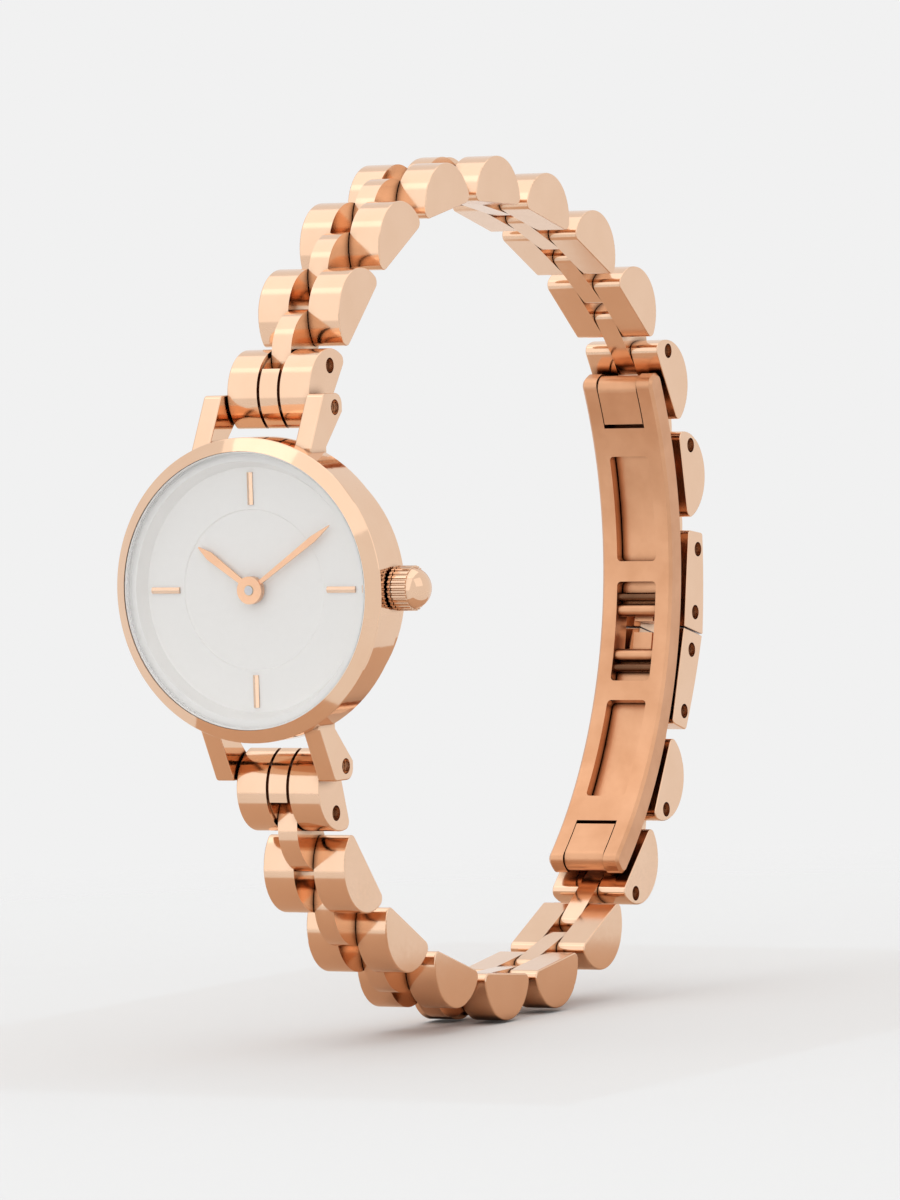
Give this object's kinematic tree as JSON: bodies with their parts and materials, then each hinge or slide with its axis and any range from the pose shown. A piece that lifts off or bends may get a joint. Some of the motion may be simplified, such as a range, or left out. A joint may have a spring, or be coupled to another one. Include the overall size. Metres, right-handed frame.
{
  "type": "bracelet watch",
  "caption": "Small round analogue watch on a closed bracelet of domed brick links with a folding butterfly clasp; hands, crown, links and clasp move.",
  "frame": {"origin": "middle of the case back's outer face", "axes": "+Y out of the case back into the wrist opening, so the dial faces -Y; +Z to 12 o'clock; +X to 3 o'clock, where the crown is"},
  "size_m": [0.0247, 0.0668, 0.0649],
  "materials": {
    "rose_gold": "polished",
    "rose_gold_brushed": "brushed",
    "steel": "satin",
    "crystal": "clear",
    "gasket": "matt",
    "dial": "matt",
    "holder": "matt",
    "brass": "satin",
    "board": "satin",
    "copper": "satin"
  },
  "bodies": {
    "head": {"case_body": "rose_gold", "spring_bars": "steel", "bezel": "rose_gold", "crystal": "crystal", "crystal_gasket": "gasket", "dial": "dial", "dial_flange": "dial", "hour_markers": "rose_gold", "movement_holder": "holder", "main_plate": "brass", "train_bridge": "brass", "circuit_board": "board", "quartz_can": "steel", "battery": "steel", "battery_clip": "steel", "motor_coil": "copper", "motor_stator": "steel", "crown_tube": "steel", "case_back": "steel", "case_back_gasket": "gasket"},
    "minute_body": {"minute_hand": "rose_gold", "cannon_pinion": "brass", "centre_wheel": "brass", "hand_cap": "steel"},
    "hour_body": {"hour_hand": "rose_gold", "hour_wheel": "brass"},
    "minute_wheel_body": {"minute_wheel": "brass"},
    "intermediate_body": {"intermediate_wheel": "brass"},
    "rotor_body": {"motor_rotor": "steel"},
    "clutch_body": {"clutch_wheel": "steel"},
    "crown_body": {"stem": "steel", "crown": "rose_gold", "crown_gasket": "gasket"},
    "lever_body": {"setting_lever": "steel"},
    "clasp_plate_body": {"clasp_plate": "rose_gold_brushed", "clasp_hinge_pins": "rose_gold", "clasp_catch_pins": "rose_gold"},
    "blade_upper_body": {"clasp_blade_upper": "rose_gold_brushed"},
    "blade_lower_body": {"clasp_blade_lower": "rose_gold_brushed"},
    "end_link_upper_body": {"end_link_upper": "rose_gold"},
    "link_upper_1_body": {"link_upper_1": "rose_gold"},
    "link_upper_2_body": {"link_upper_2": "rose_gold"},
    "link_upper_3_body": {"link_upper_3": "rose_gold"},
    "link_upper_4_body": {"link_upper_4": "rose_gold"},
    "link_upper_5_body": {"link_upper_5": "rose_gold"},
    "link_upper_6_body": {"link_upper_6": "rose_gold"},
    "link_upper_7_body": {"link_upper_7": "rose_gold"},
    "removable_link_upper_1_body": {"removable_link_upper_1": "rose_gold"},
    "removable_link_upper_2_body": {"removable_link_upper_2": "rose_gold"},
    "clasp_link_upper_body": {"clasp_link_upper": "rose_gold"},
    "end_link_lower_body": {"end_link_lower": "rose_gold"},
    "link_lower_1_body": {"link_lower_1": "rose_gold"},
    "link_lower_2_body": {"link_lower_2": "rose_gold"},
    "link_lower_3_body": {"link_lower_3": "rose_gold"},
    "link_lower_4_body": {"link_lower_4": "rose_gold"},
    "link_lower_5_body": {"link_lower_5": "rose_gold"},
    "link_lower_6_body": {"link_lower_6": "rose_gold"},
    "removable_link_lower_1_body": {"removable_link_lower_1": "rose_gold"},
    "removable_link_lower_2_body": {"removable_link_lower_2": "rose_gold"},
    "clasp_link_lower_body": {"clasp_link_lower": "rose_gold"}
  },
  "joints": [
    {"name": "minute_hand_turn", "type": "hinge", "parent": "head", "child": "minute_body", "pos_m": [0, 0, 0], "axis": [0, 1, 0], "continuous": true},
    {"name": "hour_hand_turn", "type": "hinge", "parent": "head", "child": "hour_body", "pos_m": [0, 0, 0], "axis": [0, 1, 0], "continuous": true},
    {"name": "minute_wheel_turn", "type": "hinge", "parent": "head", "child": "minute_wheel_body", "pos_m": [-0.00115, 0, -0.00164], "axis": [0, 1, 0], "continuous": true},
    {"name": "intermediate_wheel_turn", "type": "hinge", "parent": "head", "child": "intermediate_body", "pos_m": [0.00056, 0, -0.00315], "axis": [0, 1, 0], "continuous": true},
    {"name": "rotor_turn", "type": "hinge", "parent": "head", "child": "rotor_body", "pos_m": [0.00337, 0, -0.00418], "axis": [0, 1, 0], "continuous": true},
    {"name": "crown_turn", "type": "hinge", "parent": "head", "child": "clutch_body", "pos_m": [0.00525, -0.0034, 0], "axis": [1, 0, 0], "continuous": true},
    {"name": "crown_pull", "type": "slide", "parent": "clutch_body", "child": "crown_body", "axis": [1, 0, 0], "range_m": [0, 0.0005]},
    {"name": "setting_lever_turn", "type": "hinge", "parent": "head", "child": "lever_body", "pos_m": [0.0066, -0.0034, 0.00125], "axis": [0, -1, 0], "range_deg": [0, 27.6]},
    {"name": "end_link_upper_turn", "type": "hinge", "parent": "head", "child": "end_link_upper_body", "pos_m": [0, -0.00097, 0.01293], "axis": [1, 0, 0], "range_deg": [-8, 8]},
    {"name": "link_upper_1_turn", "type": "hinge", "parent": "end_link_upper_body", "child": "link_upper_1_body", "pos_m": [0, 0.00371, 0.01905], "axis": [1, 0, 0], "range_deg": [-12, 10]},
    {"name": "link_upper_2_turn", "type": "hinge", "parent": "link_upper_1_body", "child": "link_upper_2_body", "pos_m": [0, 0.00993, 0.02442], "axis": [1, 0, 0], "range_deg": [-12, 10]},
    {"name": "link_upper_3_turn", "type": "hinge", "parent": "link_upper_2_body", "child": "link_upper_3_body", "pos_m": [0, 0.01735, 0.02796], "axis": [1, 0, 0], "range_deg": [-12, 10]},
    {"name": "link_upper_4_turn", "type": "hinge", "parent": "link_upper_3_body", "child": "link_upper_4_body", "pos_m": [0, 0.02551, 0.02896], "axis": [1, 0, 0], "range_deg": [-12, 10]},
    {"name": "link_upper_5_turn", "type": "hinge", "parent": "link_upper_4_body", "child": "link_upper_5_body", "pos_m": [0, 0.03367, 0.028], "axis": [1, 0, 0], "range_deg": [-12, 10]},
    {"name": "link_upper_6_turn", "type": "hinge", "parent": "link_upper_5_body", "child": "link_upper_6_body", "pos_m": [0, 0.04147, 0.02535], "axis": [1, 0, 0], "range_deg": [-12, 10]},
    {"name": "link_upper_7_turn", "type": "hinge", "parent": "link_upper_6_body", "child": "link_upper_7_body", "pos_m": [0, 0.04852, 0.02112], "axis": [1, 0, 0], "range_deg": [-12, 10]},
    {"name": "removable_link_upper_1_turn", "type": "hinge", "parent": "link_upper_7_body", "child": "removable_link_upper_1_body", "pos_m": [0, 0.05441, 0.01539], "axis": [1, 0, 0], "range_deg": [-12, 10]},
    {"name": "removable_link_upper_2_turn", "type": "hinge", "parent": "removable_link_upper_1_body", "child": "removable_link_upper_2_body", "pos_m": [0, 0.0578, 0.00792], "axis": [1, 0, 0], "range_deg": [-12, 10]},
    {"name": "clasp_link_upper_turn", "type": "hinge", "parent": "removable_link_upper_2_body", "child": "clasp_link_upper_body", "pos_m": [0, 0.05858, -0.00026], "axis": [1, 0, 0], "range_deg": [-12, 10]},
    {"name": "clasp_pivot_upper", "type": "hinge", "parent": "clasp_link_upper_body", "child": "blade_upper_body", "pos_m": [0, 0.05783, -0.00516], "axis": [1, 0, 0], "range_deg": [0, 62]},
    {"name": "clasp_open", "type": "hinge", "parent": "blade_upper_body", "child": "clasp_plate_body", "pos_m": [0, 0.05263, 0.01262], "axis": [-1, 0, 0], "range_deg": [0, 105]},
    {"name": "clasp_hinge_lower", "type": "hinge", "parent": "clasp_plate_body", "child": "blade_lower_body", "pos_m": [0, 0.04491, -0.02344], "axis": [-1, 0, 0], "range_deg": [0, 105]},
    {"name": "end_link_lower_turn", "type": "hinge", "parent": "head", "child": "end_link_lower_body", "pos_m": [0, -0.00097, -0.01293], "axis": [-1, 0, 0], "range_deg": [-8, 8]},
    {"name": "link_lower_1_turn", "type": "hinge", "parent": "end_link_lower_body", "child": "link_lower_1_body", "pos_m": [0, 0.00203, -0.01998], "axis": [-1, 0, 0], "range_deg": [-12, 10]},
    {"name": "link_lower_2_turn", "type": "hinge", "parent": "link_lower_1_body", "child": "link_lower_2_body", "pos_m": [0, 0.00785, -0.02576], "axis": [-1, 0, 0], "range_deg": [-12, 10]},
    {"name": "link_lower_3_turn", "type": "hinge", "parent": "link_lower_2_body", "child": "link_lower_3_body", "pos_m": [0, 0.01514, -0.02958], "axis": [-1, 0, 0], "range_deg": [-12, 10]},
    {"name": "link_lower_4_turn", "type": "hinge", "parent": "link_lower_3_body", "child": "link_lower_4_body", "pos_m": [0, 0.02306, -0.03182], "axis": [-1, 0, 0], "range_deg": [-12, 10]},
    {"name": "link_lower_5_turn", "type": "hinge", "parent": "link_lower_4_body", "child": "link_lower_5_body", "pos_m": [0, 0.03128, -0.03214], "axis": [-1, 0, 0], "range_deg": [-12, 10]},
    {"name": "link_lower_6_turn", "type": "hinge", "parent": "link_lower_5_body", "child": "link_lower_6_body", "pos_m": [0, 0.03931, -0.03042], "axis": [-1, 0, 0], "range_deg": [-12, 10]},
    {"name": "removable_link_lower_1_turn", "type": "hinge", "parent": "link_lower_6_body", "child": "removable_link_lower_1_body", "pos_m": [0, 0.04638, -0.02623], "axis": [-1, 0, 0], "range_deg": [-12, 10]},
    {"name": "removable_link_lower_2_turn", "type": "hinge", "parent": "removable_link_lower_1_body", "child": "removable_link_lower_2_body", "pos_m": [0, 0.05193, -0.02016], "axis": [-1, 0, 0], "range_deg": [-12, 10]},
    {"name": "clasp_link_lower_turn", "type": "hinge", "parent": "removable_link_lower_2_body", "child": "clasp_link_lower_body", "pos_m": [0, 0.05549, -0.01275], "axis": [-1, 0, 0], "range_deg": [-12, 10]}
  ],
  "couplings": [
    {"joint": "hour_hand_turn", "follows": "minute_hand_turn", "ratio": 0.083333},
    {"joint": "minute_wheel_turn", "follows": "minute_hand_turn", "ratio": -0.33333},
    {"joint": "intermediate_wheel_turn", "follows": "minute_hand_turn", "ratio": -7},
    {"joint": "rotor_turn", "follows": "minute_hand_turn", "ratio": 63},
    {"joint": "setting_lever_turn", "follows": "crown_pull", "rad_per_m": 961.62},
    {"joint": "end_link_upper_turn", "follows": "clasp_open", "ratio": 0.043505},
    {"joint": "link_upper_1_turn", "follows": "clasp_open", "ratio": 0.043505},
    {"joint": "link_upper_2_turn", "follows": "clasp_open", "ratio": 0.043505},
    {"joint": "link_upper_3_turn", "follows": "clasp_open", "ratio": 0.043505},
    {"joint": "link_upper_4_turn", "follows": "clasp_open", "ratio": 0.043505},
    {"joint": "link_upper_5_turn", "follows": "clasp_open", "ratio": 0.043505},
    {"joint": "link_upper_6_turn", "follows": "clasp_open", "ratio": 0.043505},
    {"joint": "link_upper_7_turn", "follows": "clasp_open", "ratio": 0.043505},
    {"joint": "removable_link_upper_1_turn", "follows": "clasp_open", "ratio": 0.043505},
    {"joint": "removable_link_upper_2_turn", "follows": "clasp_open", "ratio": 0.043505},
    {"joint": "clasp_link_upper_turn", "follows": "clasp_open", "ratio": 0.043505},
    {"joint": "clasp_pivot_upper", "follows": "clasp_open", "ratio": 0.54778},
    {"joint": "clasp_hinge_lower", "follows": "clasp_open", "ratio": 1},
    {"joint": "end_link_lower_turn", "follows": "clasp_open", "ratio": 0.047856},
    {"joint": "link_lower_1_turn", "follows": "clasp_open", "ratio": 0.047856},
    {"joint": "link_lower_2_turn", "follows": "clasp_open", "ratio": 0.047856},
    {"joint": "link_lower_3_turn", "follows": "clasp_open", "ratio": 0.047856},
    {"joint": "link_lower_4_turn", "follows": "clasp_open", "ratio": 0.047856},
    {"joint": "link_lower_5_turn", "follows": "clasp_open", "ratio": 0.047856},
    {"joint": "link_lower_6_turn", "follows": "clasp_open", "ratio": 0.047856},
    {"joint": "removable_link_lower_1_turn", "follows": "clasp_open", "ratio": 0.047856},
    {"joint": "removable_link_lower_2_turn", "follows": "clasp_open", "ratio": 0.047856},
    {"joint": "clasp_link_lower_turn", "follows": "clasp_open", "ratio": 0.047856}
  ]
}
